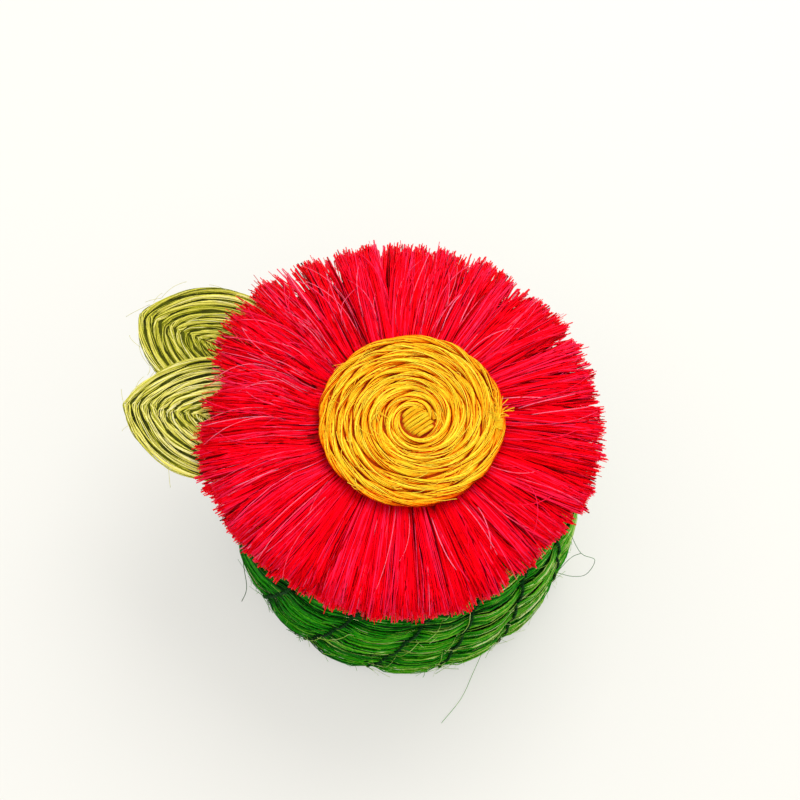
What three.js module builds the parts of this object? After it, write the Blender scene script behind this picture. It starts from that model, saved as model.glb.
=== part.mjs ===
// A small round lidded basket, coiled from dyed plant fibre, with a fibre flower sewn on its lid.
// Millimetres. +Z up. The origin is the centre of the basket's base, on the surface it stands on.
// -Y is the front, and the two leaves reach out towards -X.
// A bearing is an angle in the ground plane from the front, and grows towards +X.

import * as THREE from "three";
import { mergeVertices } from "three/addons/utils/BufferGeometryUtils.js";

// Basket
const BASKET_RADIUS = 47.8;
const BASKET_HEIGHT = 56;
const WIDEST_HEIGHT = 20;
const RIM_DRAWN_IN = 3.3;
const WALL_THICKNESS = 8;
const BASE_THICKNESS = 8;
const FOOT_ROUNDING = 4.5;
const WALL_ROUNDS = 4.5;
const ROUND_GROOVE = 0.9;

// Thread that sews the rounds of the wall together
const THREAD_DIAMETER = 1.1;
const THREAD_FOOT_HEIGHT = 2.6;
const THREAD_RIM_DROP = 0.8;
// Each seen line of stitches, as its bearing in degrees at the foot and at the rim
const SEEN_STITCHES = [[-57, -33], [-36, -11], [-12.5, 11.5], [12, 25.5], [34, 43.5], [61, 59]];
const HIDDEN_STITCHES = 9;

// Lid
const LID_THICKNESS = 6.5;
const LID_OVERHANG = 0.5;
const LID_EDGE_ROUNDING = 2.6;
const SEAT_CLEARANCE = 1.0;
const SEAT_RING_WIDTH = 5.5;
const SEAT_RING_DEPTH = 6;
const SEAT_RING_ROUNDING = 2;

// Leaves: half lengths from the widest place to the tip and to the root
const LEAF_TIP_LENGTH = 25.4;
const LEAF_ROOT_LENGTH = 16;
const LEAF_HALF_WIDTH = 17.2;
const LEAF_THICKNESS = 1.7;
// layer counts from the lid up, and root_gap is measured from the flower's bound middle
const LEAVES = [
  { name: "leaf_upper", layer: 0, bearing: 244.7, points_to: 246, root_gap: 9.8 },
  { name: "leaf_lower", layer: 1, bearing: 269.1, points_to: 260, root_gap: 4.3 },
];

// Flower
const FLOWER_RADIUS = 50;
const FLOWER_CENTRE = [-1, 0.25];
const BOUND_MARGIN = 0.8;
const BOUND_THICKNESS = 3.7;
const FRINGE_EDGE_THICKNESS = 2.6;
const FRINGE_EDGE_RISE = 0.3;
const FRINGE_RISE_UNDERSIDE = 4;
const FRINGE_RISE_TOP = 9;
const FRINGE_RISE_SPREAD = 15;

// Coiled middle of the flower
const COIL_RADIUS = 23.2;
const COIL_THICKNESS = 3.6;
const COIL_DOME = 1;
const COIL_TURNS = 10;
const COIL_GROOVE = 0.45;
const COIL_CENTRE = [1.7, -0.6];
const KNOT_RADIUS = 1.8;
const KNOT_BEARING = 98.7;

// Gap between pieces that rest on each other
const REST_GAP = 0.3;

const ROUND_SEGMENTS = 40;
const FRINGE_SEGMENTS = 48;

// Heights, from the surface that the basket stands on
const LID_BOTTOM = BASKET_HEIGHT + REST_GAP;
const LID_TOP = LID_BOTTOM + LID_THICKNESS;
const FLOWER_BOTTOM = LID_TOP + REST_GAP;
const BOUND_TOP = FLOWER_BOTTOM + BOUND_THICKNESS;
const COIL_BOTTOM = BOUND_TOP + REST_GAP;

// The fibres are bound together as far out as the coil covers them
const BOUND_RADIUS = COIL_RADIUS + BOUND_MARGIN;

const green = new THREE.MeshStandardMaterial({ color: 0x2f7a22, roughness: 0.6, metalness: 0 });
const darkGreen = new THREE.MeshStandardMaterial({ color: 0x0d3a12, roughness: 0.7, metalness: 0 });
const olive = new THREE.MeshStandardMaterial({ color: 0xa3ad4e, roughness: 0.6, metalness: 0 });
const red = new THREE.MeshStandardMaterial({ color: 0xe3001f, roughness: 0.5, metalness: 0 });
const yellow = new THREE.MeshStandardMaterial({ color: 0xf7b012, roughness: 0.55, metalness: 0 });

const flowerBasket = new THREE.Group();

function addPiece(name, geometry, material) {
  const mesh = new THREE.Mesh(geometry, material);
  mesh.name = name;
  flowerBasket.add(mesh);
  return mesh;
}

function radians(degrees) {
  return THREE.MathUtils.degToRad(degrees);
}

// A point in the ground plane at a bearing and a distance from a centre
function atBearing(degrees, distance, centre = [0, 0]) {
  const x = centre[0] + distance * Math.sin(radians(degrees));
  const y = centre[1] - distance * Math.cos(radians(degrees));
  return new THREE.Vector2(x, y);
}

// A closed solid turned about +Z from a profile of (radius, height) points that runs
// out along the bottom, up the outside and back along the top
function turned(profile, segments = ROUND_SEGMENTS) {
  const geometry = new THREE.LatheGeometry(profile, segments);
  geometry.rotateX(Math.PI / 2);
  return geometry;
}

// Points of a quarter round between two directions, given in degrees in the profile's plane
function cornerPoints(centreRadius, centreHeight, rounding, from, to, steps = 3) {
  const points = [];
  for (let step = 0; step <= steps; step += 1) {
    const angle = radians(from + ((to - from) * step) / steps);
    const radius = centreRadius + rounding * Math.cos(angle);
    points.push(new THREE.Vector2(radius, centreHeight + rounding * Math.sin(angle)));
  }
  return points;
}

// Basket: the wall's middle radius draws in above its widest height,
// and each round of the coil swells between two grooves
const WALL_HALF = WALL_THICKNESS / 2;
const ROUND_HEIGHT = BASKET_HEIGHT / WALL_ROUNDS;

function wallMiddle(height) {
  const rise = Math.max(0, height - WIDEST_HEIGHT) / (BASKET_HEIGHT - WIDEST_HEIGHT);
  return BASKET_RADIUS - WALL_HALF - RIM_DRAWN_IN * rise * rise;
}

function wallSwell(height) {
  const fromRim = (BASKET_HEIGHT - height) / ROUND_HEIGHT;
  return WALL_HALF - ROUND_GROOVE * (1 - Math.abs(Math.sin(Math.PI * fromRim)));
}

function wallOutside(height) {
  const sunk = Math.max(0, FOOT_ROUNDING - height);
  const rounding = FOOT_ROUNDING - Math.sqrt(FOOT_ROUNDING ** 2 - sunk ** 2);
  return wallMiddle(height) + wallSwell(height) - rounding;
}

function wallInside(height) {
  return wallMiddle(height) - wallSwell(height);
}

function basketCoil() {
  const pointsPerRound = 5;
  const stepHeight = ROUND_HEIGHT / pointsPerRound;
  const outside = [];
  const inside = [];
  for (let height = BASKET_HEIGHT; height > 0; height -= stepHeight) {
    outside.unshift(new THREE.Vector2(wallOutside(height), height));
    if (height > BASE_THICKNESS) {
      inside.push(new THREE.Vector2(wallInside(height), height));
    }
  }
  const profile = [
    new THREE.Vector2(0, 0),
    new THREE.Vector2(wallOutside(0), 0),
    ...outside,
    ...inside,
    new THREE.Vector2(wallInside(BASE_THICKNESS), BASE_THICKNESS),
    new THREE.Vector2(0, BASE_THICKNESS),
  ];
  return turned(profile);
}

addPiece("basket_coil", basketCoil(), green);

// Thread: each line climbs the outside of the wall and leans as the stitches step along the coil
function stitchLine(footBearing, rimBearing) {
  const steps = 12;
  const threadRadius = THREAD_DIAMETER / 2;
  const top = BASKET_HEIGHT - THREAD_RIM_DROP;
  const points = [];
  for (let step = 0; step <= steps; step += 1) {
    const share = step / steps;
    const height = THREAD_FOOT_HEIGHT + (top - THREAD_FOOT_HEIGHT) * share;
    const bearing = footBearing + (rimBearing - footBearing) * share;
    const spot = atBearing(bearing, wallOutside(height) + REST_GAP + threadRadius);
    points.push(new THREE.Vector3(spot.x, spot.y, height));
  }
  const section = new THREE.Shape().absarc(0, 0, threadRadius, 0, 2 * Math.PI);
  return new THREE.ExtrudeGeometry(section, {
    steps,
    curveSegments: 3,
    extrudePath: new THREE.CatmullRomCurve3(points),
  });
}

function stitchBearings() {
  const first = SEEN_STITCHES[0];
  const last = SEEN_STITCHES[SEEN_STITCHES.length - 1];
  const bearings = [...SEEN_STITCHES];
  for (let count = 1; count <= HIDDEN_STITCHES; count += 1) {
    const share = count / (HIDDEN_STITCHES + 1);
    bearings.push(last.map((start, end) => start + (first[end] + 360 - start) * share));
  }
  return bearings;
}

stitchBearings().forEach(([footBearing, rimBearing], index) => {
  const number = String(index + 1).padStart(2, "0");
  addPiece(`wall_stitch_${number}`, stitchLine(footBearing, rimBearing), darkGreen);
});

// Lid: a flat coiled disc that rests on the rim, with a ring under it that keeps it in the mouth
const LID_RADIUS = wallMiddle(BASKET_HEIGHT) + WALL_HALF + LID_OVERHANG;

function lidCoil() {
  const edge = LID_RADIUS - LID_EDGE_ROUNDING;
  return turned([
    new THREE.Vector2(0, LID_BOTTOM),
    ...cornerPoints(edge, LID_BOTTOM + LID_EDGE_ROUNDING, LID_EDGE_ROUNDING, -90, 0),
    ...cornerPoints(edge, LID_TOP - LID_EDGE_ROUNDING, LID_EDGE_ROUNDING, 0, 90),
    new THREE.Vector2(0, LID_TOP),
  ]);
}

function mouthRadius() {
  const depth = BASKET_HEIGHT - SEAT_RING_DEPTH;
  return Math.min(wallMiddle(depth), wallMiddle(BASKET_HEIGHT)) - WALL_HALF;
}

function seatRing() {
  const outer = mouthRadius() - SEAT_CLEARANCE;
  const inner = outer - SEAT_RING_WIDTH;
  const rounding = SEAT_RING_ROUNDING;
  const top = LID_BOTTOM - REST_GAP;
  const bottom = top - SEAT_RING_DEPTH;
  const profile = [
    ...cornerPoints(inner + rounding, bottom + rounding, rounding, 180, 270, 2),
    ...cornerPoints(outer - rounding, bottom + rounding, rounding, 270, 360, 2),
    new THREE.Vector2(outer, top),
    new THREE.Vector2(inner, top),
  ];
  profile.push(profile[0].clone());
  return turned(profile);
}

addPiece("lid_coil", lidCoil(), green);
addPiece("lid_seat_ring", seatRing(), green);

// Leaves: a pointed oval of two arcs on each side of its widest place
function arcRadius(length, halfWidth) {
  return (length ** 2 + halfWidth ** 2) / (2 * halfWidth);
}

function leafOutline() {
  const tipArc = arcRadius(LEAF_TIP_LENGTH, LEAF_HALF_WIDTH);
  const rootArc = arcRadius(LEAF_ROOT_LENGTH, LEAF_HALF_WIDTH);
  const tipDrop = tipArc - LEAF_HALF_WIDTH;
  const rootDrop = rootArc - LEAF_HALF_WIDTH;
  const tipAngle = Math.atan2(tipDrop, LEAF_TIP_LENGTH);
  const rootAngle = Math.PI - Math.atan2(rootDrop, LEAF_ROOT_LENGTH);
  const outline = new THREE.Shape();
  outline.moveTo(LEAF_TIP_LENGTH, 0);
  outline.absarc(0, -tipDrop, tipArc, tipAngle, Math.PI / 2);
  outline.absarc(0, -rootDrop, rootArc, Math.PI / 2, rootAngle);
  outline.absarc(0, rootDrop, rootArc, -rootAngle, -Math.PI / 2);
  outline.absarc(0, tipDrop, tipArc, -Math.PI / 2, -tipAngle);
  return outline;
}

// Where a leaf's widest place lies, and the turn that points its tip outwards
function leafPlace(leaf) {
  const distance = BOUND_RADIUS + leaf.root_gap + LEAF_ROOT_LENGTH;
  return {
    middle: atBearing(leaf.bearing, distance, FLOWER_CENTRE),
    turn: radians(leaf.points_to - 90),
  };
}

const LEAF_LAYER = LEAF_THICKNESS + REST_GAP;

for (const leaf of LEAVES) {
  const geometry = new THREE.ExtrudeGeometry(leafOutline(), {
    depth: LEAF_THICKNESS,
    bevelEnabled: false,
    curveSegments: 4,
  });
  const { middle, turn } = leafPlace(leaf);
  const mesh = addPiece(leaf.name, geometry, olive);
  mesh.rotation.z = turn;
  mesh.position.set(middle.x, middle.y, FLOWER_BOTTOM + leaf.layer * LEAF_LAYER);
}

// Fringe: fibres laid out from a bound middle, which ride up over the leaves
const LEAF_STACK = LEAVES.length * LEAF_LAYER;

function leafBearings() {
  const bearings = [];
  for (const leaf of LEAVES) {
    const { middle, turn } = leafPlace(leaf);
    for (const point of leafOutline().getPoints(8)) {
      point.rotateAround(new THREE.Vector2(0, 0), turn).add(middle);
      const away = point.sub(new THREE.Vector2(...FLOWER_CENTRE));
      if (away.length() < FLOWER_RADIUS + REST_GAP) {
        const bearing = THREE.MathUtils.radToDeg(Math.atan2(away.x, -away.y));
        bearings.push((bearing + 360) % 360);
      }
    }
  }
  return [Math.min(...bearings), Math.max(...bearings)];
}

const [LEAVES_FROM, LEAVES_TO] = leafBearings();
const RISE_MARGIN = 360 / FRINGE_SEGMENTS;

// How far the fringe rises over the leaves at a bearing and a radius, within a given run
function fringeRise(bearing, radius, run) {
  const before = LEAVES_FROM - RISE_MARGIN - bearing;
  const after = bearing - LEAVES_TO - RISE_MARGIN;
  const beside = THREE.MathUtils.smoothstep(Math.max(before, after), 0, FRINGE_RISE_SPREAD);
  const outwards = THREE.MathUtils.smoothstep(radius, BOUND_RADIUS, BOUND_RADIUS + run);
  return LEAF_STACK * (1 - beside) * outwards;
}

function petalFringe() {
  const riseEnds = BOUND_RADIUS + FRINGE_RISE_UNDERSIDE;
  const topRiseEnds = BOUND_RADIUS + FRINGE_RISE_TOP;
  const edgeBottom = FLOWER_BOTTOM + FRINGE_EDGE_RISE;
  const underside = [
    new THREE.Vector2(0, FLOWER_BOTTOM),
    new THREE.Vector2(BOUND_RADIUS, FLOWER_BOTTOM),
    new THREE.Vector2(riseEnds, FLOWER_BOTTOM),
    new THREE.Vector2(FLOWER_RADIUS, edgeBottom),
  ];
  const top = [
    new THREE.Vector2(FLOWER_RADIUS, edgeBottom + FRINGE_EDGE_THICKNESS),
    new THREE.Vector2(topRiseEnds, BOUND_TOP),
    new THREE.Vector2((riseEnds + topRiseEnds) / 2, BOUND_TOP),
    new THREE.Vector2(riseEnds, BOUND_TOP),
    new THREE.Vector2(BOUND_RADIUS, BOUND_TOP),
    new THREE.Vector2(0, BOUND_TOP),
  ];
  const profile = [...underside, ...top];
  const geometry = turned(profile, FRINGE_SEGMENTS);
  const position = geometry.getAttribute("position");
  for (let index = 0; index < position.count; index += 1) {
    const x = position.getX(index);
    const y = position.getY(index);
    const bearing = (THREE.MathUtils.radToDeg(Math.atan2(x, -y)) + 360) % 360;
    const isUnderside = index % profile.length < underside.length;
    const run = isUnderside ? FRINGE_RISE_UNDERSIDE : FRINGE_RISE_TOP;
    position.setZ(index, position.getZ(index) + fringeRise(bearing, Math.hypot(x, y), run));
  }
  geometry.translate(FLOWER_CENTRE[0], FLOWER_CENTRE[1], 0);
  return geometry;
}

addPiece("petal_fringe", petalFringe(), red);

// Middle of the flower: one strand wound flat in close turns, slightly domed, and its end knot
function flowerCentreCoil() {
  const pitch = COIL_RADIUS / COIL_TURNS;
  const profile = [
    new THREE.Vector2(0, COIL_BOTTOM),
    new THREE.Vector2(COIL_RADIUS - pitch / 2, COIL_BOTTOM),
    new THREE.Vector2(COIL_RADIUS, COIL_BOTTOM + COIL_THICKNESS / 2),
  ];
  for (let half = 2 * COIL_TURNS - 1; half >= 0; half -= 1) {
    const radius = (half * pitch) / 2;
    const dome = COIL_DOME * (1 - (radius / COIL_RADIUS) ** 2);
    const groove = half % 2 === 0 && half > 0 ? COIL_GROOVE : 0;
    profile.push(new THREE.Vector2(radius, COIL_BOTTOM + COIL_THICKNESS + dome - groove));
  }
  const geometry = turned(profile);
  geometry.translate(COIL_CENTRE[0], COIL_CENTRE[1], 0);
  return geometry;
}

addPiece("flower_centre_coil", flowerCentreCoil(), yellow);

function coilEndKnot() {
  const geometry = new THREE.SphereGeometry(KNOT_RADIUS, 10, 6);
  const spot = atBearing(KNOT_BEARING, COIL_RADIUS + REST_GAP + KNOT_RADIUS, COIL_CENTRE);
  geometry.translate(spot.x, spot.y, BOUND_TOP + REST_GAP + KNOT_RADIUS);
  return mergeVertices(geometry);
}

addPiece("coil_end_knot", coilEndKnot(), yellow);

export default flowerBasket;
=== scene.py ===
import math

import bpy
import numpy as np
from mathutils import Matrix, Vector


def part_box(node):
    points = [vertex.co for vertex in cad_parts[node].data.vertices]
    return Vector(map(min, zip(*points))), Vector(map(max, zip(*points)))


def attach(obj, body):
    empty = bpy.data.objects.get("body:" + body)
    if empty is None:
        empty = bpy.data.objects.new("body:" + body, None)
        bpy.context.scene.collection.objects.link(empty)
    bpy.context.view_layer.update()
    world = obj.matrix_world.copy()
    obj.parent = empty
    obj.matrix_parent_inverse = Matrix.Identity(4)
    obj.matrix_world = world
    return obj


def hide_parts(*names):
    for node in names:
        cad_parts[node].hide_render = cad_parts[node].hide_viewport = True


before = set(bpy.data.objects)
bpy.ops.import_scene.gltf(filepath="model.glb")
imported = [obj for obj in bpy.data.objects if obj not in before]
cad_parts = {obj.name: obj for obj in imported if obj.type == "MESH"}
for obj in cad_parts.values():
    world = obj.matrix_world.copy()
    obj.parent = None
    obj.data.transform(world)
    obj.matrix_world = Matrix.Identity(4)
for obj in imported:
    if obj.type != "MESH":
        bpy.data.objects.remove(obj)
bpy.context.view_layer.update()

# Camera: it looks down on the front of the basket from the photograph's place,
# steeply enough that the lid shows whole and the wall only as a band below it.
MM = 0.001
CAMERA_ELEVATION = math.radians(65.7)
CAMERA_DISTANCE = 417 * MM
CAMERA_TARGET = (-1.0 * MM, 24.6 * MM, 25.0 * MM)
CAMERA_LENS = 66.8

bpy.ops.object.select_all(action="DESELECT")
camera_place = (
    CAMERA_TARGET[0],
    CAMERA_TARGET[1] - CAMERA_DISTANCE * math.cos(CAMERA_ELEVATION),
    CAMERA_TARGET[2] + CAMERA_DISTANCE * math.sin(CAMERA_ELEVATION),
)
bpy.ops.object.camera_add(
    location=camera_place, rotation=(math.pi / 2 - CAMERA_ELEVATION, 0, 0)
)
camera = bpy.context.object
camera.data.lens = CAMERA_LENS
camera.data.clip_start = 10 * MM
bpy.context.scene.camera = camera
bpy.context.scene.view_settings.view_transform = "Standard"


# Floor and light: a white paper floor, one wide soft lamp from the right and behind,
# and an even pale surround, so that the shadow falls softly to the left and front.
def linear(code):
    """A hex colour as the eye sees it, turned to the linear values that a shader takes."""
    shown = [int(code[place : place + 2], 16) / 255 for place in (1, 3, 5)]
    straight = [v / 12.92 if v <= 0.04045 else ((v + 0.055) / 1.055) ** 2.4 for v in shown]
    return (*straight, 1.0)


def add_node(tree, kind, links=None, **settings):
    """Adds a node. Settings name its sockets or its own fields, and links name its sockets."""
    node = tree.nodes.new(kind)
    for name, value in settings.items():
        socket = node.inputs.get(name.replace("_", " "))
        if socket is None:
            setattr(node, name, value)
        else:
            socket.default_value = value
    for name, source in (links or {}).items():
        tree.links.new(source, node.inputs[name])
    return node


def new_material(name):
    """An empty material, its node tree and its output node."""
    material = bpy.data.materials.new(name)
    material.use_nodes = True
    material.node_tree.nodes.clear()
    output = material.node_tree.nodes.new("ShaderNodeOutputMaterial")
    return material, material.node_tree, output


FLOOR_SIZE = 4.0
FLOOR_COLOUR = "#DEDCD3"
FLOOR_GLOW = 0.5
FLOOR_SEEN = "#FBFAF7"
SWEEP_FROM, SWEEP_TO = 0.35, 1.4
SURROUND_LIGHT = 1.1
SURROUND_COLOUR = "#FBFBFA"
LAMP_PLACE = (0.22, 0.42, 0.85)
LAMP_SIZE = 0.6
LAMP_POWER = 5.0

bpy.ops.mesh.primitive_plane_add(size=FLOOR_SIZE, location=(0, 0, 0))
floor = bpy.context.object
floor.name = "floor"
paper, paper_tree, paper_output = new_material("white_paper")
paper_shader = add_node(
    paper_tree, "ShaderNodeBsdfPrincipled", Base_Color=linear(FLOOR_COLOUR), Roughness=0.9
)
# Matt paper. For the camera alone it is part glow, as in a bright studio where its shadow is
# thin, and all glow far off, where a sweep of paper would run up into the background.
paper_glow = add_node(paper_tree, "ShaderNodeEmission", Color=linear(FLOOR_SEEN), Strength=1.0)
paper_place = add_node(paper_tree, "ShaderNodeTexCoord")
paper_distance = add_node(
    paper_tree, "ShaderNodeVectorMath", {0: paper_place.outputs["Object"]}, operation="LENGTH"
)
paper_sweep = add_node(
    paper_tree,
    "ShaderNodeMapRange",
    {"Value": paper_distance.outputs["Value"]},
    From_Min=SWEEP_FROM,
    From_Max=SWEEP_TO,
    To_Min=FLOOR_GLOW,
)
paper_rays = add_node(paper_tree, "ShaderNodeLightPath")
links = {0: paper_rays.outputs["Is Camera Ray"], 1: paper_sweep.outputs["Result"]}
paper_share = add_node(paper_tree, "ShaderNodeMath", links, operation="MULTIPLY")
links = {"Fac": paper_share.outputs[0], 1: paper_shader.outputs[0], 2: paper_glow.outputs[0]}
paper_seen = add_node(paper_tree, "ShaderNodeMixShader", links)
paper_tree.links.new(paper_seen.outputs["Shader"], paper_output.inputs["Surface"])
floor.data.materials.append(paper)

world = bpy.data.worlds.new("pale_surround")
bpy.context.scene.world = world
world.use_nodes = True
surround = world.node_tree
surround.nodes.clear()
rays = add_node(surround, "ShaderNodeLightPath")
seen = rays.outputs["Is Camera Ray"]
for kind in ("Is Transmission Ray", "Is Glossy Ray"):
    links = {0: seen, 1: rays.outputs[kind]}
    seen = add_node(surround, "ShaderNodeMath", links, operation="MAXIMUM").outputs[0]
strength = add_node(surround, "ShaderNodeMapRange", {"Value": seen}, To_Min=SURROUND_LIGHT)
links = {"Strength": strength.outputs["Result"]}
pale = add_node(surround, "ShaderNodeBackground", links, Color=linear(SURROUND_COLOUR))
sky = add_node(surround, "ShaderNodeOutputWorld")
surround.links.new(pale.outputs["Background"], sky.inputs["Surface"])

bpy.ops.object.light_add(type="AREA", location=LAMP_PLACE)
lamp = bpy.context.object
lamp.data.size = LAMP_SIZE
lamp.data.energy = LAMP_POWER
towards = -np.array(LAMP_PLACE) / np.linalg.norm(LAMP_PLACE)
lamp_bearing = math.atan2(towards[1], towards[0]) - math.pi / 2
lamp.rotation_euler = (math.acos(-towards[2]), 0, lamp_bearing)

# Basket: bundles of dyed green fibre coiled round and round and sewn into a base and a wall.
# A packed coil lies inside, painted dark as the shade between the strands. Over it the outer
# strands run long and nearly level, sag between the lines of stitches and are pinched where the
# thread pulls.
BASKET_RADIUS = 47.8 * MM
BASKET_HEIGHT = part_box("basket_coil")[1].z
WALL_HALF = 4.0 * MM
BASE_THICKNESS = 8.0 * MM
WIDEST_HEIGHT = 20.0 * MM
RIM_DRAWN_IN = 3.3 * MM
FOOT_ROUNDING = 4.5 * MM
ROUND_HEIGHT = BASKET_HEIGHT / 4.5
ROUND_GROOVE = 1.3 * MM
STRAND_DEPTH = 1.6 * MM
STITCH_PULL = 1.5 * MM
SEEN_STITCHES = [(-57, -33), (-36, -11), (-12.5, 11.5), (12, 25.5), (34, 43.5), (61, 59)]
HIDDEN_STITCHES = 9


def turn_core(name, rings, segments=96):
    """A round solid about +Z: a disc, drawn out and resized ring by ring of (radius, height)."""
    bpy.ops.object.select_all(action="DESELECT")
    bpy.ops.mesh.primitive_circle_add(
        vertices=segments, radius=rings[0][0], fill_type="NGON", location=(0, 0, rings[0][1])
    )
    core = bpy.context.object
    core.name = name
    bpy.ops.object.mode_set(mode="EDIT")
    for (radius_before, height_before), (radius, height) in zip(rings, rings[1:]):
        step = {"value": (0, 0, height - height_before)}
        bpy.ops.mesh.extrude_region_move(TRANSFORM_OT_translate=step)
        grow = radius / radius_before
        bpy.ops.transform.resize(value=(grow, grow, 1), center_override=(0, 0, height))
    bpy.ops.mesh.select_all(action="SELECT")
    bpy.ops.mesh.normals_make_consistent(inside=False)
    bpy.ops.object.mode_set(mode="OBJECT")
    bpy.ops.object.transform_apply(location=True, rotation=True, scale=True)
    bpy.ops.object.shade_smooth_by_angle(angle=math.radians(50))
    return core


def unit(vectors):
    """Vectors with their length brought to 1."""
    return vectors / np.maximum(np.linalg.norm(vectors, axis=-1, keepdims=True), 1e-12)


STRIP = 1 / 200


def lay_fibres(name, look, lines, radius, tone, outward=(0, 0, 1), flat=1.0, sides=3, nodes=()):
    """Fibres as closed thin tubes in one piece, which is then finished. lines holds (fibre,
    point, xyz). In the UV map a fibre lies along a thin strip: U runs along it, and V is its
    tone, the dye together with any painted light and shade, which is one number for each fibre or
    for each of its points."""
    fibres, points, _ = lines.shape
    ahead = unit(np.gradient(lines, axis=1))
    outward = np.broadcast_to(np.asarray(outward, float), lines.shape)
    across = unit(np.cross(outward, ahead))
    up = np.cross(ahead, across)
    radius = np.broadcast_to(np.asarray(radius, float), (fibres, points))
    turn = 2 * np.pi * np.arange(sides) / sides + np.pi / 2
    wide = np.cos(turn)[:, None] * across[:, :, None, :]
    deep = flat * np.sin(turn)[:, None] * up[:, :, None, :]
    corners = lines[:, :, None, :] + radius[:, :, None, None] * (wide + deep)

    index = np.arange(fibres * points * sides).reshape(fibres, points, sides)
    here, onward = index[:, :-1], index[:, 1:]
    quads = np.stack([here, np.roll(here, -1, 2), np.roll(onward, -1, 2), onward], axis=-1)
    caps = np.stack([index[:, 0, ::-1], index[:, -1, :]], axis=1)
    quad_count = quads.size // 4
    cap_count = caps.size // sides
    loop_vertices = np.concatenate([quads.ravel(), caps.ravel()])
    starts = np.concatenate(
        [np.arange(quad_count) * 4, quad_count * 4 + np.arange(cap_count) * sides]
    )

    share = np.linspace(0, 1, points)
    side = np.arange(sides) / sides
    tone = np.asarray(tone, float)
    if tone.ndim == 1:
        tone = tone[:, None]
    low = np.broadcast_to(np.clip(tone, 0, 1) * (1 - STRIP), (fibres, points))
    shape = (fibres, points - 1, sides)
    u_low = np.broadcast_to(share[None, :-1, None], shape)
    u_high = np.broadcast_to(share[None, 1:, None], shape)
    v_here = low[:, :-1, None] + STRIP * side
    v_onward = low[:, 1:, None] + STRIP * side
    beside = STRIP / sides
    quad_u = np.stack([u_low, u_low, u_high, u_high], axis=-1)
    quad_v = np.stack([v_here, v_here + beside, v_onward + beside, v_onward], axis=-1)
    cap_shape = (fibres, 2, sides)
    inward = 0.01 * (np.arange(sides) % 2)
    cap_u = np.broadcast_to(np.stack([inward, 1 - inward]), cap_shape)
    cap_v = np.broadcast_to(low[:, [0, -1], None] + STRIP * side, cap_shape)
    u = np.concatenate([quad_u.ravel(), cap_u.ravel()])
    v = np.concatenate([quad_v.ravel(), cap_v.ravel()])

    mesh = bpy.data.meshes.new(name)
    mesh.vertices.add(index.size)
    mesh.vertices.foreach_set("co", corners.astype(np.float32).ravel())
    mesh.loops.add(len(loop_vertices))
    mesh.loops.foreach_set("vertex_index", loop_vertices.astype(np.int32))
    mesh.polygons.add(len(starts))
    mesh.polygons.foreach_set("loop_start", starts.astype(np.int32))
    mesh.polygons.foreach_set("use_smooth", np.arange(len(starts)) < quad_count)
    strips = mesh.uv_layers.new(name="OFBake")
    strips.uv.foreach_set("vector", np.stack([u, v], axis=-1).astype(np.float32).ravel())
    mesh.update(calc_edges=True)
    piece = bpy.data.objects.new(name, mesh)
    bpy.context.scene.collection.objects.link(piece)
    finish_piece(piece, look, *nodes)


def dyed_fibre(
    name, slot, shades, shine, root_shade=1.0, root_ends=0.2, roughness=0.4, gloss=0.12, streak=0.25
):
    """Combed plant fibre, dyed in the hank: each fibre takes the dye a little differently, pale
    streaks run along it, and it is painted darker towards its root, as the shade where it dives
    into the work. Its shine is dyed too.
    It comes back as a look, which is the material with the record's slot for it."""
    material, tree, output = new_material(name)
    strips = add_node(tree, "ShaderNodeUVMap", uv_map="OFBake")
    stretched = add_node(
        tree, "ShaderNodeMapping", {"Vector": strips.outputs["UV"]}, Scale=(9, 1 / STRIP, 1)
    )
    streaks = add_node(
        tree, "ShaderNodeTexNoise", {"Vector": stretched.outputs["Vector"]}, Scale=1.0, Detail=1.0
    )
    shift = add_node(
        tree, "ShaderNodeMapRange", {"Value": streaks.outputs["Fac"]}, To_Min=-streak, To_Max=streak
    )
    parts = add_node(tree, "ShaderNodeSeparateXYZ", {"Vector": strips.outputs["UV"]})
    links = {0: parts.outputs["Y"], 1: shift.outputs["Result"]}
    pick = add_node(tree, "ShaderNodeMath", links, operation="ADD", use_clamp=True)
    ramp = add_node(tree, "ShaderNodeValToRGB", {"Fac": pick.outputs[0]})
    while len(ramp.color_ramp.elements) < len(shades):
        ramp.color_ramp.elements.new(0.5)
    for element, (stop, code) in zip(ramp.color_ramp.elements, shades):
        element.position = stop
        element.color = linear(code)
    # Painted shade: the dye is scaled down towards the fibre's root, where it dives into the work
    links = {"Value": parts.outputs["X"]}
    root = add_node(tree, "ShaderNodeMapRange", links, From_Max=root_ends, To_Min=root_shade)
    links = {0: ramp.outputs["Color"], "Scale": root.outputs["Result"]}
    dye = add_node(tree, "ShaderNodeVectorMath", links, operation="SCALE")
    shader = add_node(
        tree,
        "ShaderNodeBsdfPrincipled",
        {"Base Color": dye.outputs[0]},
        Roughness=roughness,
        Specular_IOR_Level=gloss,
        Specular_Tint=linear(shine),
    )
    tree.links.new(shader.outputs["BSDF"], output.inputs["Surface"])
    return material, slot


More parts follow.
